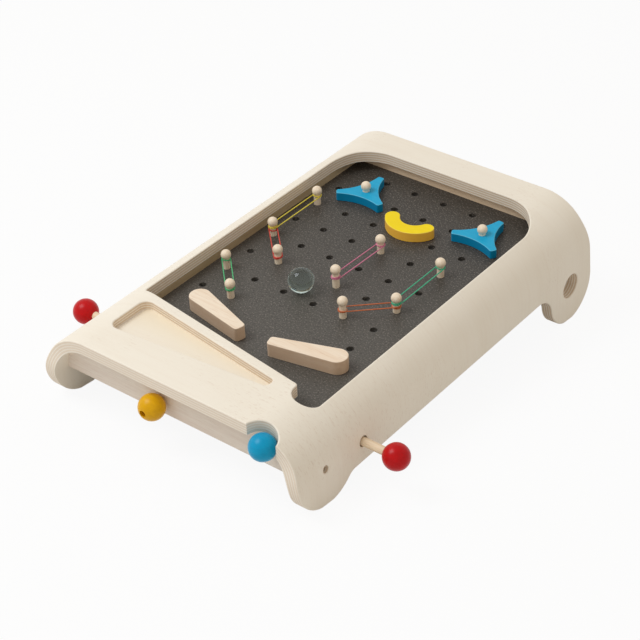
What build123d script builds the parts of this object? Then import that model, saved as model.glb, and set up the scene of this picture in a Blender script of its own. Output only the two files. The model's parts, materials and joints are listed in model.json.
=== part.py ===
from build123d import *
import math
import os

# Tabletop pinball game: a bent-plywood bridge carries a sloping playfield of peg holes.
# Lengths are millimetres. Most pieces are drawn in the deck frame: its origin is the middle of
# the hole grid on the playfield's surface, X to the player's right, Y uphill, Z square to the board.

# Hole grid
pitch = 35.0
columns = "ABCDEF"
row_count = 8
grid_shift = 7.0
hole_radius = 3.6
plain_spots = ["C1", "D1", "E1", "A8"]

# Bent shell
ply = 12.0
shell_width = 297.0
shell_length = 453.2
deck_top = 23.0
bend_radius = 52.5
wall_depth = 47.3
front_foot_radius = 40.5
front_foot_drop = 20.5
front_foot_bulge = 3.5
front_crotch_radius = 12.0
back_foot_radius = 36.2
back_foot_drop = 61.8
back_foot_bulge = 7.0
back_crotch_radius = 25.0
flare_radius = 60.0
foot_flat = 0.8
arris = 1.2

# Openings in the shell
border_left = 37.2
border_right = 27.4
border_back = 35.0
opening_corner = 46.0
apron_gap = 29.5
apron_depth = 97.0
apron_slant = 8.5
apron_corner = 3.0
pocket_radius = 13.5
pocket_lead = 4.2
pocket_lip = 3.5
tray_inset_left = 12.3
tray_inset_right = 20.6
tray_strip = 10.0
tray_left_length = 50.0
tray_right_length = 10.5
tray_depth = 9.0
tray_corner = 9.0
tray_end_corner = 4.5
notch_radius = 15.5
notch_inset = 2.0
cord_hole_radius = 3.5
cord_hole_setback = 33.5
cord_hole_drop = 22.5
grip_hole_radius = 13.0
grip_hole_setback = 31.1
grip_hole_drop = 56.5
rod_hole_radius = 5.5

# Boards between the walls
glue_gap = 0.05
board = 12.0
board_setback = 14.0
board_drop = 26.6
back_board_setback = 18.0
playfield_thickness = 9.0
cleat_width = 15.0
cleat_height = 12.0
cleat_inset = 16.0

# Screws
screw_radius = 1.75
screw_head_radius = 3.5
screw_length = 17.0
screw_gap = 0.05
screw_inset = 7.0
screw_end_inset = 20.0

# Flippers and their linkage
flipper_gap = 29.0
flipper_inset_left = 40.3
flipper_inset_right = 32.5
flipper_reach = 60.0
flipper_hub = 10.3
flipper_tip = 5.9
flipper_tip_corner = 3.5
flipper_height = 14.0
flipper_droop = 15.0
flipper_arris = 0.8
board_clearance = 0.4
shaft_radius = 4.0
shaft_seat = 9.0
running_gap = 0.08
crank_thickness = 6.5
crank_drop = 10.5
crank_hub = 9.0
crank_end = 8.0
crank_reach = 42.0
rod_drop = 26.0
rod_radius = 4.0
rod_travel = 20.0
pin_radius = 2.5
pin_play = 0.4
pin_seat = 6.0
guide_width = 12.0
guide_length = 20.0
guide_height = 25.0
guide_inset = 27.0
collar_radius = 6.5
collar_width = 8.0
stop_width = 5.0
knob_radius = 12.5
red_knob_stand = 34.5

# Coil springs
rod_wire = 1.0
rod_coil_radius = 5.2
rod_coil_turns = 8
plunger_wire = 0.8
plunger_coil_radius = 3.75
plunger_coil_turns = 9
coil_end_gap = 0.15

# Plunger
plunger_height = 4.5
plunger_radius = 3.0
striker_radius = 4.0
striker_length = 6.0
striker_seat = 3.0
plunger_spring_room = 27.0
striker_round = 1.5
knob_gap = 0.3

# Yellow bead
bead_left = 19.0
bead_drop = 12.0
bead_bore_gap = 0.1
bead_sink_radius = 3.4
bead_sink_depth = 12.0
bead_screw_head_radius = 3.1
bead_screw_head = 2.4
bead_screw_hold = 10.0

# Pegs, bands and bumpers
peg_radius = 3.5
peg_head_radius = 5.0
peg_head_height = 15.0
peg_tail = 8.5
peg_lift = 4.0
peg_chamfer = 0.5
band_wire = 1.6
band_gap = 0.05
band_high = 9.6
band_low = 7.9
bumper_clearance = 0.5
star_reach = 30.0
star_tip = 3.5
star_tip_round = 2.2
star_waist = 12.5
star_thickness = 9.0
star_arms = 3
star_gap = 0.1
crescent_radius = 23.0
crescent_width = 14.8
crescent_thickness = 10.0
crescent_sweep = 125.0
crescent_seat = 5.5
bumper_arris = 0.8

# Glass marble
marble_radius = 12.5
marble_left = 11.0
marble_front = 77.6
marble_gap = 0.3

overrun = 5.0
snap = 0.02

# Where the pegs stand, by column letter from the left and row number from the front, which of
# them are pushed in less far, and which pegs each band joins
peg_spots = {
    "peg_01": "A6",
    "peg_02": "A4",
    "peg_03": "B3",
    "peg_04": "A2",
    "peg_05": "B1",
    "peg_06": "D5",
    "peg_07": "D3",
    "peg_08": "E2",
    "peg_09": "F3",
    "peg_10": "F5",
}
peg_lift_shares = {"peg_07": 1.0, "peg_08": 0.6}
bands = [
    ("band_yellow", "peg_01", "peg_02", band_high),
    ("band_red", "peg_02", "peg_03", band_low),
    ("band_green_left", "peg_04", "peg_05", band_high),
    ("band_pink", "peg_06", "peg_07", band_high),
    ("band_orange", "peg_08", "peg_09", band_low),
    ("band_green_right", "peg_09", "peg_10", band_high),
]
star_spots = {"left": "B7", "right": "F7"}
star_turns = {"left": 95.0, "right": 85.0}
crescent_spot = "D6"

# Sizes that follow from the driving dimensions
half_width = shell_width / 2
inner_half = half_width - ply
inner_radius = bend_radius - ply
underside = deck_top - ply
flipper_line = (row_count - 1) / 2 * pitch + flipper_gap
rod_line = flipper_line + crank_reach
apron_left = flipper_line + apron_gap
front_reach = apron_left + apron_depth
back_reach = shell_length - front_reach
opening_left = half_width - border_left
opening_right = half_width - border_right
opening_back = back_reach - border_back
pocket_left = opening_right - 2 * pocket_radius
slant = math.tan(math.radians(apron_slant))
apron_right = apron_left + slant * (opening_left + pocket_left)
pocket_reach = apron_right + pocket_lead
tray_left = opening_left - tray_inset_left
tray_right = pocket_left - tray_inset_right
red_knob_reach = half_width + red_knob_stand
back_board_reach = back_reach - back_board_setback - board
board_front = front_reach - board_setback
board_back = board_front - board
front_foot_y = front_foot_radius - front_foot_bulge - front_reach
back_foot_y = back_reach + back_foot_bulge - back_foot_radius
grip_hole_y = back_reach - grip_hole_setback
bend_x = half_width - bend_radius
bend_z = deck_top - bend_radius
playfield_half = bend_x + math.sqrt((inner_radius - glue_gap) ** 2 - bend_z**2) - glue_gap
plunger_x = opening_right - pocket_radius
knob_y = -board_front - knob_gap - knob_radius
feet_run = back_foot_y - front_foot_y
feet_fall = back_foot_drop - front_foot_drop
radius_share = (back_foot_radius - front_foot_radius) / math.hypot(feet_run, feet_fall)
slope = math.degrees(math.atan2(feet_fall, feet_run) + math.asin(radius_share))
slope_sin = math.sin(math.radians(slope))
slope_cos = math.cos(math.radians(slope))

# The deck frame in the world: the feet stand on Z = 0 and the object's box is centred on X and Y
deck_height = back_foot_radius - foot_flat - back_foot_y * slope_sin + back_foot_drop * slope_cos
front_end = knob_y * slope_cos - plunger_height * slope_sin - knob_radius
back_end = back_foot_y * slope_cos + back_foot_drop * slope_sin + back_foot_radius
edge_shares = (0, 0.25, 0.5, 0.75, 1)
deck = Plane(
    origin=(0, -(front_end + back_end) / 2, deck_height),
    x_dir=(1, 0, 0),
    z_dir=(0, -slope_sin, slope_cos),
)
upward = Axis(deck.origin, deck.z_dir)
uphill = Axis(deck.origin, deck.y_dir)


def level_plane(x, y, z, turn=0):
    """A plane parallel to the playfield at a point of the deck, turned about its normal."""
    heading = math.radians(turn)
    ahead = deck.x_dir * math.cos(heading) + deck.y_dir * math.sin(heading)
    return Plane(origin=deck.from_local_coords((x, y, z)), x_dir=ahead, z_dir=deck.z_dir)


def side_plane(x):
    """A plane across X whose own axes are the deck's Y and Z."""
    return Plane(origin=deck.from_local_coords((x, 0, 0)), x_dir=deck.y_dir, z_dir=deck.x_dir)


def front_plane(y):
    """A plane across Y, facing the player, whose own axes are the deck's X and Z."""
    return Plane(origin=deck.from_local_coords((0, y, 0)), x_dir=deck.x_dir, z_dir=-deck.y_dir)


def post_plane(x, y):
    """A plane through an upright axis of the deck: radius along its X, height along its Y."""
    return Plane(origin=deck.from_local_coords((x, y, 0)), x_dir=deck.x_dir, z_dir=-deck.y_dir)


def spot(label):
    """The deck place of one hole of the grid."""
    column = columns.index(label[0]) - (len(columns) - 1) / 2
    row = int(label[1:]) - (row_count + 1) / 2
    return (column * pitch - grid_shift, row * pitch)


def sheet_depth(point):
    """How deep a point lies under the outer face of the bent sheet."""
    local = deck.to_local_coords(point)
    return bend_radius - math.hypot(max(abs(local.X) - bend_x, 0), max(local.Z - bend_z, 0))


def is_arris(edge):
    """True for a cut edge of the sheet's outer face, apart from the holes of the push rods."""
    on_face = all(abs(sheet_depth(edge @ share)) < snap for share in edge_shares)
    middle = deck.to_local_coords(edge @ 0.5)
    on_seam = abs(abs(middle.X) - bend_x) < snap or abs(middle.Z - bend_z) < snap
    from_rod = math.hypot(middle.Y + rod_line, middle.Z + rod_drop)
    return on_face and not on_seam and from_rod > rod_hole_radius + arris


def inside_arch(sketch):
    """Fill a front sketch with the space inside the bent shell, a glue line short of it."""
    with Locations((0, -wall_depth)):
        Rectangle(
            2 * (inner_half - glue_gap),
            wall_depth + underside - glue_gap,
            align=(Align.CENTER, Align.MIN),
        )
    fillet(sketch.vertices().group_by(Axis.Y)[-1], inner_radius - glue_gap)


def foot(end_y, foot_y, foot_z, radius):
    """Fill a side sketch with a round foot and the cheek that flares to it from an end of the deck."""
    with Locations((foot_y, foot_z)):
        Circle(radius)
    rise = math.atan2(-foot_z, end_y - foot_y)
    lean = math.acos(radius / math.hypot(foot_z, end_y - foot_y))
    turn = rise - math.copysign(lean, end_y - foot_y)
    Polygon(
        (foot_y, foot_z),
        (foot_y + radius * math.cos(turn), foot_z + radius * math.sin(turn)),
        (end_y, 0),
        (foot_y, 0),
        align=None,
    )


def half_ball(radius):
    """Fill a sketch with the half disc that turns about the sketch's Y into a ball."""
    Circle(radius)
    Rectangle(radius, 2 * radius, align=(Align.MIN, Align.CENTER), mode=Mode.INTERSECT)


def save(piece, name):
    """Label a finished piece and write its file."""
    piece.part.label = name
    export_step(piece.part, f"parts/{name}.step")


def coil_points(plane, radius, length, turns):
    """Points and directions of a helix along a plane's normal, four to a turn."""
    steps = 4 * turns
    lead = length / turns
    joints = []
    for step in range(steps + 1):
        angle = step * math.pi / 2
        place = Vector(radius * math.cos(angle), radius * math.sin(angle), length * step / steps)
        ahead = Vector(-radius * math.sin(angle), radius * math.cos(angle), lead / (2 * math.pi))
        start = plane.from_local_coords(place)
        joints.append((start, (plane.from_local_coords(place + ahead) - start).normalized()))
    return joints


def coil_gap(radius, length, turns, wire):
    """The least gap of a helix to itself, measured on points a thirty-second of a turn apart."""
    grain = 32
    points = []
    for step in range(turns * grain + 1):
        angle = 2 * math.pi * step / grain
        height = length * step / (turns * grain)
        points.append(Vector(radius * math.cos(angle), radius * math.sin(angle), height))
    return min(
        (points[late] - points[early]).length - wire
        for early in range(len(points))
        for late in range(early + grain // 2, len(points))
    )


def coil(plane, radius, length, turns, wire):
    """A coil spring: one wire swept along quarter turns, each made of two tangent arcs."""
    joints = coil_points(plane, radius, length, turns)
    with BuildPart() as spring:
        with BuildLine() as route:
            for (start, leave), (end, arrive) in zip(joints, joints[1:]):
                chord = end - start
                both = leave + arrive
                square = 2 * (leave.dot(arrive) - 1)
                linear = -2 * chord.dot(both)
                root = math.sqrt(linear**2 - 4 * square * chord.dot(chord))
                handle = (-linear - root) / (2 * square)
                handle = max(handle, (-linear + root) / (2 * square))
                first = start + leave * handle
                second = end - arrive * handle
                middle = (first + second) / 2
                TangentArc(start, middle, tangent=leave)
                TangentArc(middle, end, tangent=second - first)
        with BuildSketch(Plane(origin=joints[0][0], z_dir=joints[0][1])):
            Circle(wire / 2)
        sweep(path=route.wires()[0])
    return spring


os.makedirs("parts", exist_ok=True)

# Shell: a bent sheet, cut to the side outline with its feet, then opened from above
sheet_front = -front_reach - front_foot_bulge - overrun
sheet_length = shell_length + front_foot_bulge + back_foot_bulge + 2 * overrun
sheet_height = deck_top + back_foot_drop + 2 * back_foot_radius
front_crotch_y = front_foot_y + math.sqrt(front_foot_radius**2 - (wall_depth - front_foot_drop) ** 2)
back_crotch_y = back_foot_y - math.sqrt(back_foot_radius**2 - (back_foot_drop - wall_depth) ** 2)
turns = [
    (front_crotch_y, -wall_depth, front_crotch_radius),
    (back_crotch_y, -wall_depth, back_crotch_radius),
    (-front_reach, 0, flare_radius),
    (back_reach, 0, flare_radius),
]
with BuildPart() as shell:
    with BuildSketch(front_plane(sheet_front)) as sheet_outside:
        with Locations((0, deck_top)):
            Rectangle(shell_width, sheet_height, align=(Align.CENTER, Align.MAX))
        fillet(sheet_outside.vertices().group_by(Axis.Y)[-1], bend_radius)
    extrude(amount=-sheet_length)
    with BuildSketch(front_plane(sheet_front)) as sheet_inside:
        with Locations((0, underside)):
            Rectangle(2 * inner_half, sheet_height, align=(Align.CENTER, Align.MAX))
        fillet(sheet_inside.vertices().group_by(Axis.Y)[-1], inner_radius)
    extrude(amount=-sheet_length, mode=Mode.SUBTRACT)
    with BuildSketch(side_plane(-half_width - overrun)) as side_outline:
        with Locations((-front_reach, 0)):
            Rectangle(shell_length, deck_top + overrun, align=(Align.MIN, Align.MIN))
        with Locations((front_foot_y, -wall_depth)):
            Rectangle(feet_run, wall_depth, align=(Align.MIN, Align.MIN))
        foot(-front_reach, front_foot_y, -front_foot_drop, front_foot_radius)
        foot(back_reach, back_foot_y, -back_foot_drop, back_foot_radius)
        for turn_y, turn_z, turn_radius in turns:
            fillet(side_outline.vertices().sort_by_distance((turn_y, turn_z))[0], turn_radius)
    extrude(amount=shell_width + 2 * overrun, mode=Mode.INTERSECT)

    with BuildSketch(level_plane(0, 0, deck_top + overrun)) as well:
        with BuildLine():
            Polyline(
                (pocket_left, -pocket_reach),
                (pocket_left, -apron_right),
                (-opening_left, -apron_left),
                (-opening_left, opening_back),
                (opening_right, opening_back),
                (opening_right, -pocket_reach),
            )
            RadiusArc((opening_right, -pocket_reach), (pocket_left, -pocket_reach), pocket_radius)
        make_face()
        fillet(well.vertices().group_by(Axis.Y)[-1], opening_corner)
        fillet(well.vertices().sort_by_distance((pocket_left, -apron_right))[0], pocket_lip)
        fillet(well.vertices().sort_by_distance((-opening_left, -apron_left))[0], apron_corner)
    extrude(amount=-deck_top - overrun, mode=Mode.SUBTRACT)

    tray_back_left = apron_left + tray_strip + slant * (opening_left - tray_left)
    tray_back_right = apron_left + tray_strip + slant * (opening_left + tray_right)
    with BuildSketch(level_plane(0, 0, deck_top - tray_depth)) as tray:
        with BuildLine():
            Polyline(
                (-tray_left, -tray_back_left),
                (-tray_left, -tray_back_left - tray_left_length),
                (tray_right, -tray_back_right - tray_right_length),
                (tray_right, -tray_back_right),
                close=True,
            )
        make_face()
        fillet(tray.vertices().group_by(Axis.X)[-1], tray_end_corner)
        fillet(tray.vertices().group_by(Axis.X)[0], tray_corner)
    extrude(amount=tray_depth + overrun, mode=Mode.SUBTRACT)

    with BuildSketch(level_plane(0, 0, 0)):
        with Locations((plunger_x, -front_reach - notch_inset)):
            Circle(notch_radius)
    extrude(amount=deck_top + overrun, mode=Mode.SUBTRACT)

    with BuildSketch(side_plane(-half_width - overrun)):
        with Locations((cord_hole_setback - front_reach, -cord_hole_drop)):
            Circle(cord_hole_radius)
        with Locations((grip_hole_y, -grip_hole_drop)):
            Circle(grip_hole_radius)
        with Locations((-rod_line, -rod_drop)):
            Circle(rod_hole_radius)
    extrude(amount=shell_width + 2 * overrun, mode=Mode.SUBTRACT)
    split(bisect_by=Plane.XY, keep=Keep.TOP)
    fillet(shell.edges().filter_by(is_arris), arris)
save(shell, "shell")

# Front board, bored for the plunger and for the yellow bead's screw
with BuildPart() as front_board:
    with BuildSketch(front_plane(-board_front)) as front_face:
        inside_arch(front_face)
        with Locations((0, -board_drop)):
            Rectangle(shell_width, board_drop + deck_top, align=(Align.CENTER, Align.MIN), mode=Mode.INTERSECT)
        with Locations((plunger_x, plunger_height)):
            Circle(plunger_radius + running_gap, mode=Mode.SUBTRACT)
    extrude(amount=-board)
    with BuildSketch(front_plane(-board_front)):
        with Locations((-bead_left, -bead_drop)):
            Circle(screw_radius + screw_gap)
    extrude(amount=-bead_screw_hold - screw_gap, mode=Mode.SUBTRACT)
save(front_board, "front_board")

# Back board, which also stops the marble at the top of the playfield
with BuildPart() as back_board:
    with BuildSketch(front_plane(back_board_reach)) as back_face:
        inside_arch(back_face)
        with Locations((0, -board_drop)):
            Rectangle(shell_width, board_drop + deck_top, align=(Align.CENTER, Align.MIN), mode=Mode.INTERSECT)
    extrude(amount=-board)
save(back_board, "back_board")

# Playfield: the holed board
deck_length = back_board_reach + board_back
cleat_front = cleat_inset - board_back
screw_rows = [
    cleat_front + screw_end_inset,
    (cleat_front + back_board_reach) / 2,
    back_board_reach - screw_end_inset,
]
cleat_x = playfield_half - cleat_width / 2
screw_spots = [(hand * cleat_x, y) for hand in (-1, 1) for y in screw_rows]
pivots = {
    "left": flipper_inset_left - opening_left,
    "right": opening_right - flipper_inset_right,
}
with BuildPart() as playfield:
    with BuildSketch(level_plane(0, -board_back, -playfield_thickness)):
        Rectangle(2 * playfield_half, deck_length, align=(Align.CENTER, Align.MIN))
    extrude(amount=playfield_thickness)
    with BuildSketch(level_plane(0, 0, 0)):
        for column in columns:
            for row in range(row_count):
                label = f"{column}{row + 1}"
                if label not in plain_spots:
                    with Locations(spot(label)):
                        Circle(hole_radius)
        for pivot_x in pivots.values():
            with Locations((pivot_x, -flipper_line)):
                Circle(shaft_radius + running_gap)
    extrude(amount=-playfield_thickness, mode=Mode.SUBTRACT)
    with BuildSketch(level_plane(0, 0, -playfield_thickness)):
        with Locations(screw_spots):
            Circle(screw_radius + screw_gap)
    extrude(amount=screw_length - cleat_height + screw_gap, mode=Mode.SUBTRACT)
save(playfield, "playfield")

# Left rail: fills the wedge between the playfield and the left bend
with BuildPart() as left_rail:
    with BuildSketch(front_plane(-board_back)) as rail_face:
        inside_arch(rail_face)
        with Locations((-opening_left, 0)):
            Rectangle(half_width, deck_top, align=(Align.MAX, Align.MIN), mode=Mode.INTERSECT)
    extrude(amount=-deck_length)
save(left_rail, "left_rail")

# Cleats under the playfield's long edges, countersunk for its screws
cleat_floor = -playfield_thickness - cleat_height
for side, hand in (("left", -1), ("right", 1)):
    with BuildPart() as cleat:
        with BuildSketch(front_plane(cleat_front)) as cleat_face:
            inside_arch(cleat_face)
            with Locations((hand * (playfield_half + half_width - cleat_width) / 2, cleat_floor)):
                Rectangle(
                    half_width - playfield_half + cleat_width,
                    cleat_height,
                    align=(Align.CENTER, Align.MIN),
                    mode=Mode.INTERSECT,
                )
        extrude(amount=-(back_board_reach - cleat_front))
        for y in screw_rows:
            with BuildSketch(post_plane(hand * cleat_x, y)) as sink:
                with BuildLine():
                    Polyline(
                        (0, cleat_floor),
                        (screw_head_radius + screw_gap, cleat_floor),
                        (screw_radius + screw_gap, cleat_floor + screw_head_radius - screw_radius),
                        (screw_radius + screw_gap, -playfield_thickness),
                        (0, -playfield_thickness),
                        close=True,
                    )
                make_face()
            revolve(axis=Axis(post_plane(hand * cleat_x, y).origin, deck.z_dir), mode=Mode.SUBTRACT)
    save(cleat, f"{side}_cleat")

# Playfield screws: six alike, driven up through the cleats
with BuildPart() as playfield_screws:
    for x, y in screw_spots:
        with BuildSketch(post_plane(x, y)):
            with BuildLine():
                Polyline(
                    (0, cleat_floor),
                    (screw_head_radius, cleat_floor),
                    (screw_radius, cleat_floor + screw_head_radius - screw_radius),
                    (screw_radius, cleat_floor + screw_length - screw_radius),
                    (0, cleat_floor + screw_length),
                    close=True,
                )
            make_face()
        revolve(axis=Axis(post_plane(x, y).origin, deck.z_dir))
save(playfield_screws, "playfield_screws")

# Flippers with their linkage, one set a side: push rod, drive pin, crank, shaft, paddle
half_travel = rod_travel / 2
crank_floor = -crank_drop - crank_thickness
pin_far = math.hypot(half_travel, crank_reach)
tip_x = flipper_reach + flipper_tip - flipper_tip_corner
tip_y = flipper_tip - flipper_tip_corner
for side, hand in (("left", -1), ("right", 1)):
    pivot_x = pivots[side]
    paddle_turn = -flipper_droop if hand < 0 else 180 + flipper_droop
    with BuildPart() as flipper:
        with BuildSketch(level_plane(pivot_x, -flipper_line, board_clearance, paddle_turn)) as paddle:
            Circle(flipper_hub)
            with Locations((tip_x, tip_y), (tip_x, -tip_y)):
                Circle(flipper_tip_corner)
            make_hull()
        extrude(amount=flipper_height)
        fillet(flipper.faces().sort_by(upward).last.edges(), flipper_arris)
        with BuildSketch(level_plane(pivot_x, -flipper_line, board_clearance)):
            Circle(shaft_radius)
        extrude(amount=shaft_seat, mode=Mode.SUBTRACT)
    save(flipper, f"flipper_{side}")

    with BuildPart() as shaft:
        with BuildSketch(level_plane(pivot_x, -flipper_line, crank_floor)):
            Circle(shaft_radius)
        extrude(amount=board_clearance + shaft_seat - crank_floor)
    save(shaft, f"flipper_shaft_{side}")

    crank_turn = math.degrees(math.atan2(-crank_reach, hand * half_travel))
    with BuildPart() as crank:
        with BuildSketch(level_plane(pivot_x, -flipper_line, crank_floor, crank_turn)) as lever:
            Circle(crank_hub)
            with Locations((pin_far, 0)):
                Circle(crank_end)
            make_hull()
            Circle(shaft_radius, mode=Mode.SUBTRACT)
            with Locations(((pin_far + crank_reach) / 2, 0)):
                SlotCenterToCenter(
                    pin_far - crank_reach + 2 * pin_play,
                    2 * (pin_radius + pin_play),
                    mode=Mode.SUBTRACT,
                )
        extrude(amount=crank_thickness)
    save(crank, f"crank_{side}")

    pin_x = pivot_x + hand * half_travel
    guide_x = pivot_x - hand * (guide_inset + guide_width / 2)
    stop_x = guide_x - hand * guide_width / 2
    rod_end = stop_x - hand * stop_width
    knob_x = hand * red_knob_reach
    pin_floor = -rod_drop + rod_radius - pin_seat
    with BuildPart() as push_rod:
        with BuildSketch(side_plane(min(rod_end, knob_x))):
            with Locations((-rod_line, -rod_drop)):
                Circle(rod_radius)
        extrude(amount=abs(knob_x - rod_end))
        with BuildSketch(level_plane(pin_x, -rod_line, pin_floor)):
            Circle(pin_radius)
        extrude(amount=pin_seat + collar_radius, mode=Mode.SUBTRACT)
    save(push_rod, f"push_rod_{side}")

    knob_plane = Plane(
        origin=deck.from_local_coords((knob_x, -rod_line, -rod_drop)),
        x_dir=deck.y_dir,
        z_dir=deck.z_dir * -hand,
    )
    with BuildPart() as red_knob:
        with BuildSketch(knob_plane):
            half_ball(knob_radius)
            Rectangle(rod_radius, 2 * knob_radius, align=(Align.MIN, Align.MAX), mode=Mode.SUBTRACT)
        revolve(axis=Axis(knob_plane.origin, knob_plane.y_dir))
    save(red_knob, f"red_knob_{side}")

    with BuildPart() as drive_pin:
        with BuildSketch(level_plane(pin_x, -rod_line, pin_floor)):
            Circle(pin_radius)
        extrude(amount=-crank_drop - pin_floor)
    save(drive_pin, f"drive_pin_{side}")

    with BuildPart() as collar:
        with BuildSketch(side_plane(pin_x - collar_width / 2)):
            with Locations((-rod_line, -rod_drop)):
                Circle(collar_radius)
                Circle(rod_radius, mode=Mode.SUBTRACT)
        extrude(amount=collar_width)
        with BuildSketch(level_plane(pin_x, -rod_line, -rod_drop)):
            Circle(pin_radius)
        extrude(amount=collar_radius + overrun, mode=Mode.SUBTRACT)
    save(collar, f"rod_collar_{side}")

    with BuildPart() as rod_stop:
        with BuildSketch(side_plane(min(rod_end, stop_x))):
            with Locations((-rod_line, -rod_drop)):
                Circle(collar_radius)
                Circle(rod_radius, mode=Mode.SUBTRACT)
        extrude(amount=stop_width)
    save(rod_stop, f"rod_stop_{side}")

    with BuildPart() as guide:
        with BuildSketch(side_plane(guide_x - guide_width / 2)):
            with Locations((-rod_line, -playfield_thickness)):
                Rectangle(guide_length, guide_height, align=(Align.CENTER, Align.MAX))
            with Locations((-rod_line, -rod_drop)):
                Circle(rod_radius + running_gap, mode=Mode.SUBTRACT)
        extrude(amount=guide_width)
    save(guide, f"rod_guide_{side}")

    spring_from = guide_x + hand * guide_width / 2
    spring_room = abs(pin_x - spring_from) - collar_width / 2
    spring_ends = rod_wire / 2 + coil_end_gap
    spring_length = spring_room - 2 * spring_ends
    spring_plane = Plane(
        origin=deck.from_local_coords((spring_from + hand * spring_ends, -rod_line, -rod_drop)),
        x_dir=deck.y_dir,
        z_dir=deck.x_dir * hand,
    )
    return_spring = coil(spring_plane, rod_coil_radius, spring_length, rod_coil_turns, rod_wire)
    save(return_spring, f"return_spring_{side}")
    rod_coil_gap = coil_gap(rod_coil_radius, spring_length, rod_coil_turns, rod_wire)
    print(f"return_spring_{side}: least gap to itself {rod_coil_gap:.2f} mm")

# Plunger: rod, striker and knob along the lane, with a spring behind the front board
striker_back = plunger_spring_room - board_back
with BuildPart() as plunger_rod:
    with BuildSketch(front_plane(knob_y)):
        with Locations((plunger_x, plunger_height)):
            Circle(plunger_radius)
    extrude(amount=knob_y - striker_back - striker_seat)
save(plunger_rod, "plunger_rod")

with BuildPart() as plunger_striker:
    with BuildSketch(front_plane(striker_back)):
        with Locations((plunger_x, plunger_height)):
            Circle(striker_radius)
    extrude(amount=-striker_length)
    fillet(plunger_striker.faces().sort_by(uphill).last.edges(), striker_round)
    with BuildSketch(front_plane(striker_back)):
        with Locations((plunger_x, plunger_height)):
            Circle(plunger_radius)
    extrude(amount=-striker_seat, mode=Mode.SUBTRACT)
save(plunger_striker, "plunger_striker")

plunger_ends = plunger_wire / 2 + coil_end_gap
plunger_coil_length = striker_back + board_back - 2 * plunger_ends
plunger_plane = Plane(
    origin=deck.from_local_coords((plunger_x, plunger_ends - board_back, plunger_height)),
    x_dir=deck.x_dir,
    z_dir=deck.y_dir,
)
plunger_spring = coil(
    plunger_plane, plunger_coil_radius, plunger_coil_length, plunger_coil_turns, plunger_wire
)
save(plunger_spring, "plunger_spring")
plunger_coil_gap = coil_gap(
    plunger_coil_radius, plunger_coil_length, plunger_coil_turns, plunger_wire
)
print(f"plunger_spring: least gap to itself {plunger_coil_gap:.2f} mm")

plunger_knob_plane = level_plane(plunger_x, knob_y, plunger_height)
with BuildPart() as plunger_knob:
    with BuildSketch(plunger_knob_plane):
        half_ball(knob_radius)
        Rectangle(plunger_radius, 2 * knob_radius, align=(Align.MIN, Align.MIN), mode=Mode.SUBTRACT)
    revolve(axis=Axis(plunger_knob_plane.origin, deck.y_dir))
save(plunger_knob, "plunger_knob")

# Yellow bead: drilled through, its screw's head sunk in the front of the bore
bead_plane = level_plane(-bead_left, knob_y, -bead_drop)
sink_y = bead_sink_depth - knob_radius
with BuildPart() as yellow_knob:
    with BuildSketch(bead_plane):
        half_ball(knob_radius)
        Rectangle(screw_radius + bead_bore_gap, 3 * knob_radius, align=(Align.MIN, Align.CENTER), mode=Mode.SUBTRACT)
        with Locations((0, sink_y)):
            Rectangle(bead_sink_radius, 2 * knob_radius, align=(Align.MIN, Align.MAX), mode=Mode.SUBTRACT)
    revolve(axis=Axis(bead_plane.origin, deck.y_dir))
save(yellow_knob, "yellow_knob")

with BuildPart() as yellow_knob_screw:
    with BuildSketch(bead_plane):
        with Locations((0, sink_y - bead_bore_gap)):
            Rectangle(bead_screw_head_radius, bead_screw_head, align=(Align.MIN, Align.MAX))
            Rectangle(
                screw_radius,
                knob_radius - bead_sink_depth + bead_bore_gap + knob_radius + knob_gap + bead_screw_hold,
                align=(Align.MIN, Align.MIN),
            )
    revolve(axis=Axis(bead_plane.origin, deck.y_dir))
save(yellow_knob_screw, "yellow_knob_screw")


def turned_peg(x, y, lift=0):
    """A turned peg: a ball head on a straight shank, pushed into its hole."""
    neck = math.sqrt(peg_head_radius**2 - peg_radius**2)
    head = peg_head_height + lift
    tail = lift - peg_tail
    with BuildPart() as peg:
        with BuildSketch(post_plane(x, y)):
            with BuildLine():
                Polyline(
                    (0, head + peg_head_radius),
                    (0, tail),
                    (peg_radius - peg_chamfer, tail),
                    (peg_radius, tail + peg_chamfer),
                    (peg_radius, head - neck),
                )
                ThreePointArc(
                    (peg_radius, head - neck),
                    (peg_head_radius, head),
                    (0, head + peg_head_radius),
                )
            make_face()
        revolve(axis=Axis(post_plane(x, y).origin, deck.z_dir))
    return peg


# Pegs, numbered from the back left
for name, label in peg_spots.items():
    save(turned_peg(*spot(label), peg_lift * peg_lift_shares.get(name, 0)), name)

# Rubber bands, each stretched round two pegs under their heads
for name, first, second, height in bands:
    start = Vector(*spot(peg_spots[first]))
    run = Vector(*spot(peg_spots[second])) - start
    middle = start + run / 2
    heading = math.degrees(math.atan2(run.Y, run.X))
    with BuildPart() as band:
        with BuildSketch(level_plane(middle.X, middle.Y, height - band_wire / 2, heading)):
            SlotCenterToCenter(run.length, 2 * (peg_radius + band_gap + band_wire))
            SlotCenterToCenter(run.length, 2 * (peg_radius + band_gap), mode=Mode.SUBTRACT)
        extrude(amount=band_wire)
    save(band, name)

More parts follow.
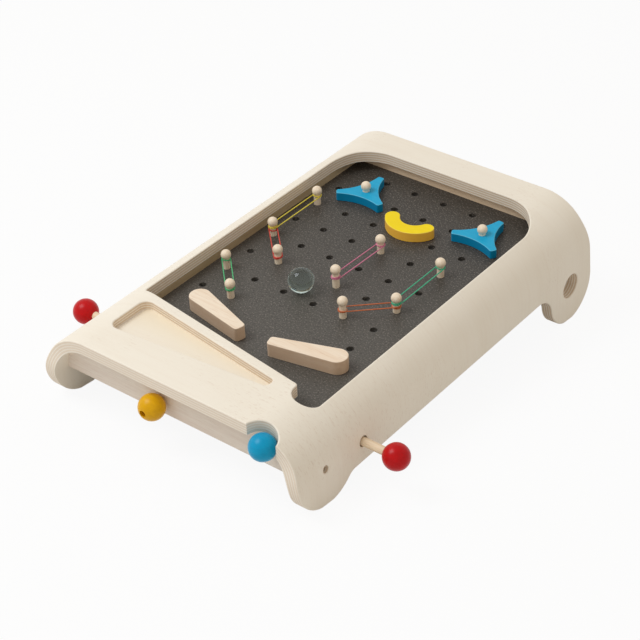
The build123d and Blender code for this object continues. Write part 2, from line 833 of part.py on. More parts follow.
# Star bumpers: three arms with hollow sides, loose on their pegs
for side, label in star_spots.items():
    star_x, star_y = spot(label)
    with BuildPart() as star:
        with BuildSketch(level_plane(star_x, star_y, bumper_clearance, star_turns[side])) as star_face:
            with BuildLine():
                for arm in range(star_arms):
                    ahead = 2 * math.pi * arm / star_arms
                    across = Vector(-math.sin(ahead), math.cos(ahead)) * star_tip
                    tip = Vector(math.cos(ahead), math.sin(ahead)) * star_reach
                    between = ahead + math.pi / star_arms
                    waist = Vector(math.cos(between), math.sin(between)) * star_waist
                    following = 2 * math.pi * (arm + 1) / star_arms
                    next_across = Vector(-math.sin(following), math.cos(following)) * star_tip
                    next_tip = Vector(math.cos(following), math.sin(following)) * star_reach
                    Line(tip - across, tip + across)
                    ThreePointArc(tip + across, waist, next_tip - next_across)
            make_face()
            fillet(star_face.vertices(), star_tip_round)
            Circle(peg_radius + star_gap, mode=Mode.SUBTRACT)
        extrude(amount=star_thickness)
        fillet(star.faces().sort_by(upward).last.outer_wire().edges(), bumper_arris)
    save(star, f"star_{side}")
    save(turned_peg(star_x, star_y), f"star_peg_{side}")

# Crescent bumper on one dowel
crescent_x, crescent_y = spot(crescent_spot)
with BuildPart() as crescent_bumper:
    with BuildSketch(level_plane(crescent_x, crescent_y, bumper_clearance)):
        with BuildLine(mode=Mode.PRIVATE) as spine:
            CenterArc((0, crescent_radius), crescent_radius, 270 - crescent_sweep / 2, crescent_sweep)
        SlotArc(spine.edges()[0], crescent_width)
    extrude(amount=crescent_thickness)
    fillet(crescent_bumper.faces().sort_by(upward).last.edges(), bumper_arris)
    with BuildSketch(level_plane(crescent_x, crescent_y, bumper_clearance)):
        Circle(peg_radius)
    extrude(amount=crescent_seat, mode=Mode.SUBTRACT)
save(crescent_bumper, "crescent_bumper")

with BuildPart() as crescent_dowel:
    with BuildSketch(level_plane(crescent_x, crescent_y, -peg_tail)):
        Circle(peg_radius)
    extrude(amount=peg_tail + bumper_clearance + crescent_seat)
save(crescent_dowel, "crescent_dowel")

# Glass marble
marble_plane = level_plane(-marble_left, -marble_front, marble_radius + marble_gap)
with BuildPart() as marble:
    with BuildSketch(marble_plane):
        half_ball(marble_radius)
    revolve(axis=Axis(marble_plane.origin, deck.y_dir))
save(marble, "marble")
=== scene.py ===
# %% [markdown]
# # A tabletop pinball game in plywood
#
# The solids come from CAD and stay where they are. This lesson gives them their finishes, swaps the
# stretchy and springy pieces for better ones, and lights the game as in a catalogue picture.
# Lengths are metres, and the frame is the one that the CAD uses: X to the player's right, Y away
# from the player, Z up, with the four feet on Z = 0.

# %% Load the frame
import bmesh
import bpy
import json
import math
from mathutils import Matrix, Vector


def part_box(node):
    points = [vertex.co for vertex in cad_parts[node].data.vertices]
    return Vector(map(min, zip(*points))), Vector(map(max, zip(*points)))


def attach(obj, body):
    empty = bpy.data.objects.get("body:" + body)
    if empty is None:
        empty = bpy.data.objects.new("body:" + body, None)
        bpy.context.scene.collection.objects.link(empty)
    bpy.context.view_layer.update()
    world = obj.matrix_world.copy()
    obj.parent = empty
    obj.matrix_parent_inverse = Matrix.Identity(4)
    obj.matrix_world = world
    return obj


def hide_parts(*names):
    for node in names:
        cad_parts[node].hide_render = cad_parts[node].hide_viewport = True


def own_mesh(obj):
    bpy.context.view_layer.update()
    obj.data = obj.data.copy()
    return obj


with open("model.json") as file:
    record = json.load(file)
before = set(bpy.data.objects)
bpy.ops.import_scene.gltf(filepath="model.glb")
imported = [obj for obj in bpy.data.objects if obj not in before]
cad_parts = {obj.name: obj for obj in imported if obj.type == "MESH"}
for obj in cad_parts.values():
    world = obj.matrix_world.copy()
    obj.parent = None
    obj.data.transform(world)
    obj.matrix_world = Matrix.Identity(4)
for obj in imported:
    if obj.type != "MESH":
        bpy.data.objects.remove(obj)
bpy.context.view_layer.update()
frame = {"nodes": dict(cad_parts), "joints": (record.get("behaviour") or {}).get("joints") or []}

nodes = frame["nodes"]
MM = 0.001
print("pieces from CAD:", len(nodes))

# %% [markdown]
# The playfield slopes, so most shapes and patterns follow the board and not the table. The joints
# carry the directions: a flipper turns about the board's normal and the marble rolls up its slope.
# The pivot of the left flipper lies on the playfield's surface, which makes it a good zero point.

# %% Directions of the sloping board
joints = {joint["name"]: joint for joint in frame["joints"]}
ACROSS = Vector((1, 0, 0))
UPHILL = Vector(joints["marble_roll"]["axis"])
NORMAL = Vector(joints["flipper_left"]["axis"])
PIVOT = Vector(joints["flipper_left"]["pos_m"])
print("slope in degrees:", round(math.degrees(math.asin(UPHILL.z)), 2))

# %% [markdown]
# Finishes are node networks. Writing `a * b + c` is easier to read than wiring Math nodes, so a
# small class wraps a socket and lets Python's operators add those nodes. Its method `math` adds
# the other Math nodes by their name, and `node` adds any kind of node.

# %% A socket that can be calculated with
class Wire:
    """A value in a material's node tree; arithmetic on it adds Math nodes."""

    def __init__(self, tree, socket=None):
        self.tree = tree
        self.socket = socket

    def node(self, kind, settings=None, sockets=None, out=0):
        """Add a node, set it up, feed its sockets and return one of its outputs."""
        made = self.tree.nodes.new(kind)
        for name, setting in (settings or {}).items():
            setattr(made, name, setting)
        for key, value in (sockets or {}).items():
            if isinstance(value, Wire):
                self.tree.links.new(value.socket, made.inputs[key])
            else:
                made.inputs[key].default_value = value
        return Wire(self.tree, made.outputs[out])

    def math(self, operation, first, second=0.0):
        return self.node("ShaderNodeMath", {"operation": operation}, {0: first, 1: second})

    def __add__(self, other):
        return self.math("ADD", self, other)

    __radd__ = __add__

    def __sub__(self, other):
        return self.math("SUBTRACT", self, other)

    def __rsub__(self, other):
        return self.math("SUBTRACT", other, self)

    def __mul__(self, other):
        return self.math("MULTIPLY", self, other)

    def __truediv__(self, other):
        return self.math("DIVIDE", self, other)


print("shader arithmetic is ready")

# %% [markdown]
# Colours are noted as they look on a screen, from 0 to 255, and turned into the linear light that
# the renderer works with. A finish starts from `start_finish`, which gives a Principled shader, the
# tree to build in, and the place on the piece in the directions of the board.

# %% Colours and the start of a finish
def shade(red, green, blue):
    """A screen colour as linear light, by the standard sRGB curve."""
    channels = []
    for channel in (red, green, blue):
        level = channel / 255
        channels.append(level / 12.92 if level <= 0.04045 else ((level + 0.055) / 1.055) ** 2.4)
    return (*channels, 1.0)


def dot(wire, first, second):
    """How far one vector reaches along another."""
    settings = {"operation": "DOT_PRODUCT"}
    return wire.node("ShaderNodeVectorMath", settings, {0: first, 1: second}, out="Value")


def start_finish(name):
    """A new material: its shader, a wire to build with, and X, Y, Z along the board in metres."""
    material = bpy.data.materials.new(name)
    material.use_nodes = True
    tree = material.node_tree
    shader = tree.nodes["Principled BSDF"]
    wire = Wire(tree)
    place = wire.node("ShaderNodeTexCoord", out="Object")
    from_pivot = wire.node("ShaderNodeVectorMath", {"operation": "SUBTRACT"}, {0: place, 1: PIVOT})
    along = [dot(wire, from_pivot, direction) for direction in (ACROSS, UPHILL, NORMAL)]
    return material, shader, wire, along


def feed(shader, name, value):
    """Set one socket of a shader, or link it."""
    if isinstance(value, Wire):
        value.tree.links.new(value.socket, shader.inputs[name])
    else:
        shader.inputs[name].default_value = value


print("colours and finishes can be started")

# %% [markdown]
# Patterns are noises, mixed and eased. A noise is stretched by giving each direction its own number
# of repeats in a metre. Flat pieces are told apart by the way a face looks: upper faces look along
# the board's normal, sides across it, and the narrow eased edges lie between.

# %% Helpers for patterns
UPPER_FROM = 0.86
UPPER_FULL = 0.97
EDGE_FROM = 0.2
EDGE_FULL = 0.5


def mix(wire, share, first, second):
    """A colour between two others."""
    settings = {"data_type": "RGBA"}
    return wire.node("ShaderNodeMix", settings, {"Factor": share, 6: first, 7: second}, out=2)


def stretch(wire, x, y, z):
    """A vector made of three numbers, for a texture that is stretched along one of them."""
    return wire.node("ShaderNodeCombineXYZ", sockets={"X": x, "Y": y, "Z": z})


def noise(wire, vector, scale, detail=2.0, roughness=0.5):
    sockets = {"Vector": vector, "Scale": scale, "Detail": detail, "Roughness": roughness}
    return wire.node("ShaderNodeTexNoise", sockets=sockets)


def ease(wire, value, low, high):
    """0 below low, 1 above high, and a smooth rise between them."""
    settings = {"interpolation_type": "SMOOTHSTEP"}
    return wire.node("ShaderNodeMapRange", settings, {"Value": value, "From Min": low, "From Max": high})


def bump(wire, height, depth, strength):
    sockets = {"Height": height, "Distance": depth, "Strength": strength}
    return wire.node("ShaderNodeBump", sockets=sockets)


def upright_share(wire):
    """1 where a face looks straight up from the sloping board, 0 where it stands on it."""
    return dot(wire, wire.node("ShaderNodeNewGeometry", out="Normal"), NORMAL)


def upper_faces(wire):
    """1 on the upper faces of a flat piece, 0 on its sides and edges."""
    return ease(wire, upright_share(wire), UPPER_FROM, UPPER_FULL)


def eased_edges(wire):
    """1 on the narrow eased edges between the upper face and the sides of a flat piece."""
    upright = upright_share(wire)
    above_sides = ease(wire, upright, EDGE_FROM, EDGE_FULL)
    return above_sides * (1 - ease(wire, upright, UPPER_FROM, UPPER_FULL))


print("pattern helpers are ready")

# %% [markdown]
# The shell is one sheet of birch plywood, bent over at both sides. Its faces show a pale veneer with
# short flecks that run round the bend, the back of the routed tray shows a yellower inner layer,
# and every cut edge shows them all. Towards the front end the cut edges are painted paler, with
# fainter layers and glue lines: painted light where the front faces the lamp. The layers follow
# from the depth under the outer face: the same rounded-corner formula as the bend gives that depth
# anywhere in the sheet, so the layers follow the bend by themselves.

# %% Plywood of the shell
PLY = 12 * MM
BEND = 52.5 * MM
BEND_ACROSS = 96 * MM
BEND_HEIGHT = -29.5 * MM
LAYERS = 9
VENEER = 0.7 * MM
TRAY_FRONT = -91 * MM
TRAY_BACK = -45 * MM
# The stretch of the front end where the cut edges get painted light
PAINTED_LIGHT_FRONT_END = -120 * MM
PAINTED_LIGHT_FRONT_START = -100 * MM
PLY_RELIEF = 0.05 * MM
STREAK_SHARE = 0.13
FLECK_SHARE = 0.28
GLUE_WIDTH = 0.16
GLUE_SHARE = 0.36
PAINTED_LIGHT_GLUE_LOSS = 0.16
PAINTED_LIGHT_LAYER_FADE = 0.5
TRAY_TINT_SHARE = 0.85


def plywood():
    material, shader, wire, (_, y, z) = start_finish("birch_plywood")
    place = wire.node("ShaderNodeTexCoord", out="Object")
    x = wire.node("ShaderNodeSeparateXYZ", sockets={0: place}, out="X")
    side = wire.math("ABSOLUTE", x)
    over = wire.math("MAXIMUM", side - BEND_ACROSS, 0.0)
    above = wire.math("MAXIMUM", z - BEND_HEIGHT, 0.0)
    radius = wire.math("SQRT", over * over + above * above)
    depth = BEND - radius
    turn = wire.math("ARCTAN2", over, above)
    below = wire.math("MAXIMUM", BEND_HEIGHT - z, 0.0)
    run = wire.math("MINIMUM", side, BEND_ACROSS) + turn * BEND + below

    # Face veneer: broad pale clouds with short flecks along the run of the sheet
    clouds = noise(wire, stretch(wire, run * 6, y * 22, x * 3), 1.0, 3.0)
    flecks = noise(wire, stretch(wire, run * 190, y * 800, x * 40), 1.0, 2.0, 0.6)
    patches = noise(wire, stretch(wire, run * 18, y * 12, x * 3), 1.0, 2.0)
    fleck = ease(wire, flecks, 0.56, 0.7) * ease(wire, patches, 0.42, 0.66)
    streaks = noise(wire, stretch(wire, run * 14, y * 260, x * 8), 1.0, 3.0)
    face = mix(wire, clouds, shade(248, 241, 227), shade(240, 230, 212))
    face = mix(wire, ease(wire, streaks, 0.42, 0.72) * STREAK_SHARE, face, shade(232, 216, 196))
    face = mix(wire, fleck * FLECK_SHARE, face, shade(206, 178, 154))

    # Cut edges: long-grain and end-grain layers in turn, with a thin dark glue line between them
    layer = depth / (PLY / LAYERS)
    within = wire.math("FRACT", layer)
    number = wire.math("FLOOR", layer)
    odd = wire.math("MODULO", number, 2.0)
    pores = noise(wire, stretch(wire, x * 500, y * 500, z * 900), 1.0, 2.0, 0.7)
    long_grain = mix(wire, pores, shade(247, 239, 226), shade(238, 227, 211))
    end_grain = mix(wire, pores, shade(232, 211, 184), shade(217, 194, 165))
    # Painted light: towards the front end the cut edges turn paler, with fainter end-grain layers and
    # glue lines
    painted_front_light = 1 - ease(wire, y, PAINTED_LIGHT_FRONT_END, PAINTED_LIGHT_FRONT_START)
    edge = mix(wire, odd * (1 - painted_front_light * PAINTED_LIGHT_LAYER_FADE), long_grain, end_grain)
    line = ease(wire, wire.math("ABSOLUTE", within - 0.5), 0.5 - GLUE_WIDTH, 0.5)
    glue = GLUE_SHARE - painted_front_light * PAINTED_LIGHT_GLUE_LOSS
    edge = mix(wire, line * glue, edge, shade(176, 150, 124))
    middle = wire.math("ABSOLUTE", depth - PLY / 2)
    inside = 1 - ease(wire, middle, PLY / 2 - VENEER, PLY / 2 - VENEER * 0.8)
    level = upper_faces(wire) * (1 - ease(wire, over, 0.0, VENEER))
    yellow = inside * level * ease(wire, y, TRAY_FRONT, TRAY_BACK)
    face = mix(wire, yellow * TRAY_TINT_SHARE, face, shade(241, 227, 200))
    inside = inside * (1 - level)
    feed(shader, "Base Color", mix(wire, inside, face, edge))
    feed(shader, "Roughness", 0.52 + clouds * 0.1 + inside * 0.12)
    relief = flecks * (1 - inside) + pores * inside
    feed(shader, "Normal", bump(wire, relief, PLY_RELIEF, 0.5))
    return material


birch_plywood = plywood()
print("made", birch_plywood.name)

# %% [markdown]
# The other wooden pieces are cut from plain boards. Wood is a bundle of fibres, so its pattern is a
# noise that is stretched a long way along the grain and only a little across it. One function makes
# all of them: it takes the direction of the grain and three colours.

# %% Solid woods
WOOD_RELIEF = 0.04 * MM
FIBRE_SHARE = 0.55
WOOD_EDGE_HIGHLIGHT_SHARE = 0.8


def solid_wood(name, grain, pale, middle, dark, ring, gloss=0.5, side_shade_share=0.0):
    """Board wood with its grain along 'x', 'y' or 'z' of the sloping board.

    With a share for the sides, the cut sides are that much nearer to the dark colour, a painted
    shade, and the eased edges between them and the upper face are pale, a painted highlight.
    """
    material, shader, wire, along = start_finish(name)
    order = {"x": (0, 1, 2), "y": (1, 0, 2), "z": (2, 0, 1)}[grain]
    length, width, thick = (along[index] for index in order)
    sway = noise(wire, stretch(wire, length * 9, width * 30, thick * 30), 1.0, 2.0)
    across = width * 150 * ring + sway * 1.6
    bands = noise(wire, stretch(wire, length * 5, across, thick * 150 * ring), 1.0, 3.0)
    fibres = noise(wire, stretch(wire, length * 60, width * 1500, thick * 1500), 1.0, 2.0, 0.65)
    colour = mix(wire, ease(wire, bands, 0.3, 0.7), pale, middle)
    colour = mix(wire, ease(wire, fibres, 0.52, 0.78) * FIBRE_SHARE, colour, dark)
    # Painted light: darker sides as painted shade, pale eased edges as a painted highlight
    if side_shade_share:
        colour = mix(wire, (1 - upper_faces(wire)) * side_shade_share, colour, dark)
        colour = mix(wire, eased_edges(wire) * WOOD_EDGE_HIGHLIGHT_SHARE, colour, pale)
    feed(shader, "Base Color", colour)
    feed(shader, "Roughness", gloss + fibres * 0.14)
    feed(shader, "Normal", bump(wire, fibres, WOOD_RELIEF, 0.6))
    return material


dowel_colours = (shade(236, 216, 186), shade(226, 200, 166), shade(198, 166, 130))
board_wood = solid_wood(
    "pale_board", "x", shade(238, 228, 215), shade(229, 215, 201), shade(202, 180, 161), 0.8
)
# The back board is a warmer copy of the same board wood: painted warm light on a board that stands in
# the shade of the opening
back_board_painted_light = solid_wood(
    "warm_board", "x", shade(246, 222, 192), shade(236, 207, 174), shade(208, 170, 134), 0.8
)
rail_wood = solid_wood(
    "rail_board", "y", shade(196, 176, 142), shade(176, 154, 120), shade(142, 120, 92), 0.8
)
# The flippers and cranks get painted shade on their sides and a painted highlight on their eased edges
paddle_wood = solid_wood(
    "paddle_beech", "x", shade(246, 230, 208), shade(238, 216, 190), shade(206, 166, 130), 1.2, 0.45, 0.5
)
turned_wood = solid_wood(
    "turned_pegs", "z", shade(248, 234, 212), shade(240, 219, 191), shade(212, 182, 148), 3.0, 0.45
)
rod_wood = solid_wood("rod_dowel", "x", *dowel_colours, 3.0, 0.45)
lane_rod_wood = solid_wood("lane_dowel", "y", *dowel_colours, 3.0, 0.45)
print("made seven woods")

# %% [markdown]
# The playfield is a dark composite board. Close up it is a crowd of fine grains, some lighter and a
# few darker, under a matt coat. Two noises of a millimetre or two make the grains. Its colour is
# painted paler towards the front and darker towards the back: a painted sheen at the front and
# painted shade at the back.

# %% Speckled playfield
SHEEN_RAMP_LENGTH = 260 * MM
SPECKLE_RELIEF = 0.05 * MM
FINE_GRAINS = 680.0
COARSE_GRAINS = 420.0
PALE_GRAIN_SHARE = 0.6
DARK_GRAIN_SHARE = 0.45


def speckled_board():
    material, shader, wire, (x, y, z) = start_finish("speckled_playfield")
    place = stretch(wire, x, y, z)
    fine = noise(wire, place, FINE_GRAINS, 1.0)
    coarse = noise(wire, place, COARSE_GRAINS, 1.0)
    cloud = noise(wire, place, 16.0, 3.0)
    # Painted sheen and shade: paler towards the front, darker towards the back, with a little random
    # clouding
    painted_front_sheen = 1 - ease(wire, y, 0.0, SHEEN_RAMP_LENGTH)
    colour = mix(wire, painted_front_sheen * 0.8 + cloud * 0.2, shade(56, 51, 45), shade(81, 77, 71))
    colour = mix(wire, ease(wire, fine, 0.54, 0.7) * PALE_GRAIN_SHARE, colour, shade(132, 125, 116))
    colour = mix(wire, ease(wire, coarse, 0.56, 0.7) * DARK_GRAIN_SHARE, colour, shade(46, 42, 38))
    feed(shader, "Base Color", colour)
    feed(shader, "Specular IOR Level", 0.35)
    feed(shader, "Roughness", 0.42 + coarse * 0.16)
    feed(shader, "Normal", bump(wire, fine, SPECKLE_RELIEF, 0.5))
    return material


playfield_finish = speckled_board()
print("made", playfield_finish.name)

# %% [markdown]
# Knobs and bumpers are wood under coloured lacquer. The lacquer is nearly even, but the grain below
# telegraphs through as a faint ripple, and handling leaves the gloss a little uneven.

# %% Coloured lacquers
LACQUER_RELIEF = 0.03 * MM
LACQUER_EDGE_HIGHLIGHT_SHARE = 0.8


def lacquer(name, colour, deep, gloss, shaded_side_colour=None, edge_highlight=None):
    """Lacquer whose grain shows in a deeper colour.

    A flat piece also has a darker colour for its sides, which is painted shade, and a pale one for
    its eased edges, which is a painted highlight.
    """
    material, shader, wire, (x, y, z) = start_finish(name)
    grain = noise(wire, stretch(wire, x * 60, y * 420, z * 420), 1.0, 2.0)
    cloud = noise(wire, stretch(wire, x, y, z), 90.0, 2.0)
    coat = mix(wire, ease(wire, grain, 0.3, 0.75) * 0.5, colour, deep)
    # Painted light: the sides get a painted-shade colour and the eased edges a painted highlight
    if shaded_side_colour:
        coat = mix(wire, upper_faces(wire), shaded_side_colour, coat)
        coat = mix(wire, eased_edges(wire) * LACQUER_EDGE_HIGHLIGHT_SHARE, coat, edge_highlight)
    feed(shader, "Base Color", coat)
    feed(shader, "Roughness", gloss + cloud * 0.12)
    feed(shader, "Normal", bump(wire, grain, LACQUER_RELIEF, 0.35))
    feed(shader, "Specular IOR Level", 0.2)
    return material


red_lacquer = lacquer("red_lacquer", shade(194, 5, 11), shade(173, 2, 7), 0.24)
yellow_lacquer = lacquer("yellow_lacquer", shade(230, 174, 6), shade(212, 154, 4), 0.28)
blue_lacquer = lacquer("blue_lacquer", shade(4, 158, 202), shade(2, 142, 188), 0.24)
# The stars and the crescent get painted shade on their sides and a painted highlight on their eased
# edges
star_lacquer = lacquer(
    "star_lacquer",
    shade(28, 170, 212),
    shade(16, 156, 202),
    0.34,
    shaded_side_colour=shade(4, 134, 182),
    edge_highlight=shade(110, 204, 232),
)
crescent_lacquer = lacquer(
    "crescent_lacquer",
    shade(250, 222, 8),
    shade(246, 212, 4),
    0.34,
    shaded_side_colour=shade(255, 197, 76),
    edge_highlight=shade(252, 232, 90),
)
print("made five lacquers")

# %% [markdown]
# Steel springs and screws, rubber bands and the glass marble complete the list. Rubber gets a dusty
# unevenness, steel fine brushing, and the glass is clear with a trace of green, tinted grey enough
# that it also darkens what shows through it as painted shade.

# %% Steel, rubber and glass
STEEL_RELIEF = 0.02 * MM
RUBBER_RELIEF = 0.03 * MM
GLASS_INDEX = 1.36


def bright_steel():
    material, shader, wire, (x, y, z) = start_finish("bright_steel")
    brushing = noise(wire, stretch(wire, x * 900, y * 900, z * 90), 1.0, 2.0)
    feed(shader, "Base Color", mix(wire, brushing, shade(196, 197, 200), shade(170, 171, 175)))
    feed(shader, "Metallic", 1.0)
    feed(shader, "Roughness", 0.24 + brushing * 0.16)
    feed(shader, "Normal", bump(wire, brushing, STEEL_RELIEF, 0.3))
    return material


def rubber(name, colour, dusty):
    material, shader, wire, (x, y, z) = start_finish(name)
    dust = noise(wire, stretch(wire, x, y, z), 900.0, 2.0, 0.6)
    feed(shader, "Base Color", mix(wire, ease(wire, dust, 0.45, 0.75), colour, dusty))
    feed(shader, "Roughness", 0.42 + dust * 0.2)
    feed(shader, "Normal", bump(wire, dust, RUBBER_RELIEF, 0.4))
    return material


def clear_glass():
    material, shader, wire, (x, y, z) = start_finish("clear_glass")
    wisp = noise(wire, stretch(wire, x, y, z), 120.0, 2.0)
    # A real trace of green, and painted shade: the grey-green tint darkens what is seen through the
    # marble
    feed(shader, "Base Color", mix(wire, wisp, shade(200, 213, 206), shade(190, 204, 197)))
    feed(shader, "Transmission Weight", 1.0)
    feed(shader, "IOR", GLASS_INDEX)
    feed(shader, "Roughness", 0.0)
    return material


steel = bright_steel()
glass = clear_glass()
rubbers = {
    "band_yellow": rubber("rubber_yellow", shade(226, 206, 60), shade(236, 220, 110)),
    "band_red": rubber("rubber_red", shade(206, 62, 48), shade(216, 92, 76)),
    "band_green_left": rubber("rubber_green", shade(66, 176, 112), shade(112, 200, 146)),
    "band_pink": rubber("rubber_pink", shade(208, 112, 146), shade(226, 158, 182)),
    "band_orange": rubber("rubber_orange", shade(196, 98, 50), shade(208, 124, 78)),
    "band_green_right": rubber("rubber_teal", shade(56, 176, 132), shade(104, 200, 164)),
}
print("made steel, glass and", len(rubbers), "rubbers")

# %% [markdown]
# Each CAD piece now gets its finish. Names that share a beginning share a material.

# %% Finishes on the CAD pieces
finishes = {
    "shell": birch_plywood,
    "playfield": playfield_finish,
    "playfield_screws": steel,
    "front_board": board_wood,
    "back_board": back_board_painted_light,
    "left_cleat": board_wood,
    "right_cleat": board_wood,
    "rod_guide": board_wood,
    "left_rail": rail_wood,
    "flipper_shaft": turned_wood,
    "flipper": paddle_wood,
    "crank": paddle_wood,
    "push_rod": rod_wood,
    "rod_collar": rod_wood,
    "rod_stop": rod_wood,
    "plunger_rod": lane_rod_wood,
    "plunger_striker": lane_rod_wood,
    "plunger_knob": blue_lacquer,
    "plunger_spring": steel,
    "return_spring": steel,
    "drive_pin": steel,
    "yellow_knob_screw": steel,
    "yellow_knob": yellow_lacquer,
    "red_knob": red_lacquer,
    "star_peg": turned_wood,
    "star": star_lacquer,
    "crescent_dowel": turned_wood,
    "crescent_bumper": crescent_lacquer,
    "peg": turned_wood,
    "marble": glass,
    **rubbers,
}
for name, piece in nodes.items():
    match = max((start for start in finishes if name.startswith(start)), key=len)
    piece.data.materials.clear()
    piece.data.materials.append(finishes[match])
print("finished", len(nodes), "CAD pieces")

# %% [markdown]
# Six rubber bands are stretched between pegs, each wound a second time round its pegs. A stretched
# ring is a torus that has been pulled apart: its two halves move to the pegs, and a bridge fills the
# straight runs between them. The ring lies flat while it is shaped, and is then laid in its place.

# %% Rubber bands
BAND_WIRE = 1.1 * MM
BAND_RADIUS = 4.1 * MM
BAND_LEAN = math.radians(7)
BAND_RUN_CUTS = 10
RING = {
    "major_segments": 48,
    "minor_segments": 12,
    "major_radius": BAND_RADIUS,
    "minor_radius": BAND_WIRE / 2,
}
band_pegs = {
    "band_yellow": ("peg_01", "peg_02", 1),
    "band_red": ("peg_02", "peg_03", -1),
    "band_green_left": ("peg_04", "peg_05", 1),
    "band_pink": ("peg_06", "peg_07", 1),
    "band_orange": ("peg_08", "peg_09", -1),
    "band_green_right": ("peg_09", "peg_10", 1),
}


def middle_of(node):
    """The middle of a CAD piece's box."""
    low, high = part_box(node)
    return (low + high) / 2


def pick(piece, kind, test):
    """Select the faces, edges or points of a piece in edit mode whose middle passes a test."""
    mesh = bmesh.from_edit_mesh(piece.data)
    bpy.ops.mesh.select_all(action="DESELECT")
    for part in getattr(mesh, kind):
        corners = [part.co] if kind == "verts" else [corner.co for corner in part.verts]
        part.select_set(test(part, sum(corners, Vector()) / len(corners)))
    bmesh.update_edit_mesh(piece.data)


def settle(piece, place, material, node, body):
    """Move a shaped piece to its place, put the place in its mesh and let it stand for a node."""
    piece.matrix_world = place
    bpy.ops.object.select_all(action="DESELECT")
    piece.select_set(True)
    bpy.context.view_layer.objects.active = piece
    bpy.ops.object.transform_apply(location=True, rotation=True, scale=True)
    bpy.ops.object.shade_smooth()
    piece.data.materials.clear()
    piece.data.materials.append(material)
    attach(piece, body)
    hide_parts(node)


def stretched_band(node, first, second, winding):
    """A ring round two pegs, with a second turn round each peg above (1) or below (-1) the runs."""
    run = middle_of(second) - middle_of(first)
    bpy.ops.object.select_all(action="DESELECT")
    bpy.ops.mesh.primitive_torus_add(**RING)
    band = bpy.context.object
    band.name = f"stretched_{node}"
    bpy.ops.object.mode_set(mode="EDIT")
    bpy.ops.mesh.select_mode(type="FACE")
    pick(band, "faces", lambda face, middle: middle.x > 0)
    bpy.ops.mesh.split()
    bpy.ops.transform.translate(value=(run.length / 2, 0, 0))
    pick(band, "faces", lambda face, middle: middle.x < 0)
    bpy.ops.transform.translate(value=(-run.length / 2, 0, 0))
    bpy.ops.mesh.select_mode(type="EDGE")
    for hand in (-1, 1):
        pick(band, "edges", lambda edge, middle: edge.is_boundary and middle.y * hand > 0)
        bpy.ops.mesh.bridge_edge_loops(number_cuts=BAND_RUN_CUTS)
    for hand in (-1, 1):
        bpy.ops.mesh.primitive_torus_add(
            **RING,
            location=(hand * run.length / 2, 0, winding * BAND_WIRE),
            rotation=(BAND_LEAN * hand, 0, 0),
        )
    bpy.ops.mesh.select_all(action="SELECT")
    bpy.ops.mesh.normals_make_consistent(inside=False)
    bpy.ops.object.mode_set(mode="OBJECT")
    along = run.normalized()
    turn = Matrix((along, NORMAL.cross(along), NORMAL)).transposed().to_4x4()
    return band, Matrix.Translation(middle_of(node)) @ turn


for node, (first, second, winding) in band_pegs.items():
    band, place = stretched_band(node, first, second, winding)
    settle(band, place, rubbers[node], node, "frame")
    print(band.name, len(band.data.polygons), "faces")

# %% [markdown]
# The springs are wire wound round an axis. The Screw modifier does just that: a small circle beside
# the axis is turned and lifted at once. Each spring is squeezed when its rod moves, but here it only
# rides on the frame: its joint, its room and its pressed room are listed, and the end that stays put
# is worked out, but none of them flattens it.

# %% Coil springs
COIL_STEPS = 32
COIL_WIRE_STEPS = 12
RETURN_COIL = {"radius": 5.2 * MM, "wire": 1.0 * MM, "turns": 8, "length": 31.7 * MM}
RETURN_ROOM = 33.0 * MM
RETURN_PRESSED_ROOM = 13.0 * MM
LANE_COIL = {"radius": 3.75 * MM, "wire": 0.8 * MM, "turns": 9, "length": 25.9 * MM}
LANE_ROOM = 27.0 * MM
LANE_PRESSED_ROOM = 12.0 * MM
coils = {
    "return_spring_left": ("push_left", ACROSS * -1, RETURN_COIL, RETURN_ROOM, RETURN_PRESSED_ROOM),
    "return_spring_right": ("push_right", ACROSS, RETURN_COIL, RETURN_ROOM, RETURN_PRESSED_ROOM),
    "plunger_spring": ("plunger_pull", UPHILL, LANE_COIL, LANE_ROOM, LANE_PRESSED_ROOM),
}


def wound_spring(node, along, radius, wire, turns, length):
    """A coil of wire along a direction, centred on its CAD piece."""
    bpy.ops.object.select_all(action="DESELECT")
    bpy.ops.mesh.primitive_circle_add(
        vertices=COIL_WIRE_STEPS, radius=wire / 2, rotation=(math.pi / 2, 0, 0)
    )
    spring = bpy.context.object
    spring.name = f"wound_{node}"
    bpy.ops.object.transform_apply(location=False, rotation=True, scale=False)
    bpy.ops.object.mode_set(mode="EDIT")
    bpy.ops.mesh.select_all(action="SELECT")
    bpy.ops.transform.translate(value=(radius, 0, 0))
    bpy.ops.object.mode_set(mode="OBJECT")
    winding = spring.modifiers.new("winding", "SCREW")
    winding.axis = "Z"
    winding.screw_offset = length / turns
    winding.iterations = turns
    winding.steps = COIL_STEPS
    winding.render_steps = COIL_STEPS
    bpy.ops.object.modifier_apply(modifier="winding")
    bpy.ops.object.mode_set(mode="EDIT")
    bpy.ops.mesh.select_mode(type="EDGE")
    bpy.ops.mesh.select_all(action="SELECT")
    bpy.ops.mesh.fill_holes(sides=0)
    bpy.ops.mesh.normals_make_consistent(inside=False)
    bpy.ops.object.mode_set(mode="OBJECT")
    across = along.orthogonal().normalized()
    turn = Matrix((across, along.cross(across), along)).transposed().to_4x4()
    return spring, Matrix.Translation(middle_of(node) - along * length / 2) @ turn


for node, (joint, along, coil, room, pressed_room) in coils.items():
    spring, place = wound_spring(node, along, **coil)
    settle(spring, place, steel, node, "frame")
    fixed_end = middle_of(node) - along * room / 2
    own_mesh(spring)
    print(spring.name, len(spring.data.polygons), "faces")

# %% [markdown]
# The marble is a ball of clear glass. Light bends through it, so it has to be truly smooth: a finely
# divided ball replaces the CAD one. Where the molten drop was cut off, such marbles keep two faint
# dimples, which soft-edged moves of one point give.

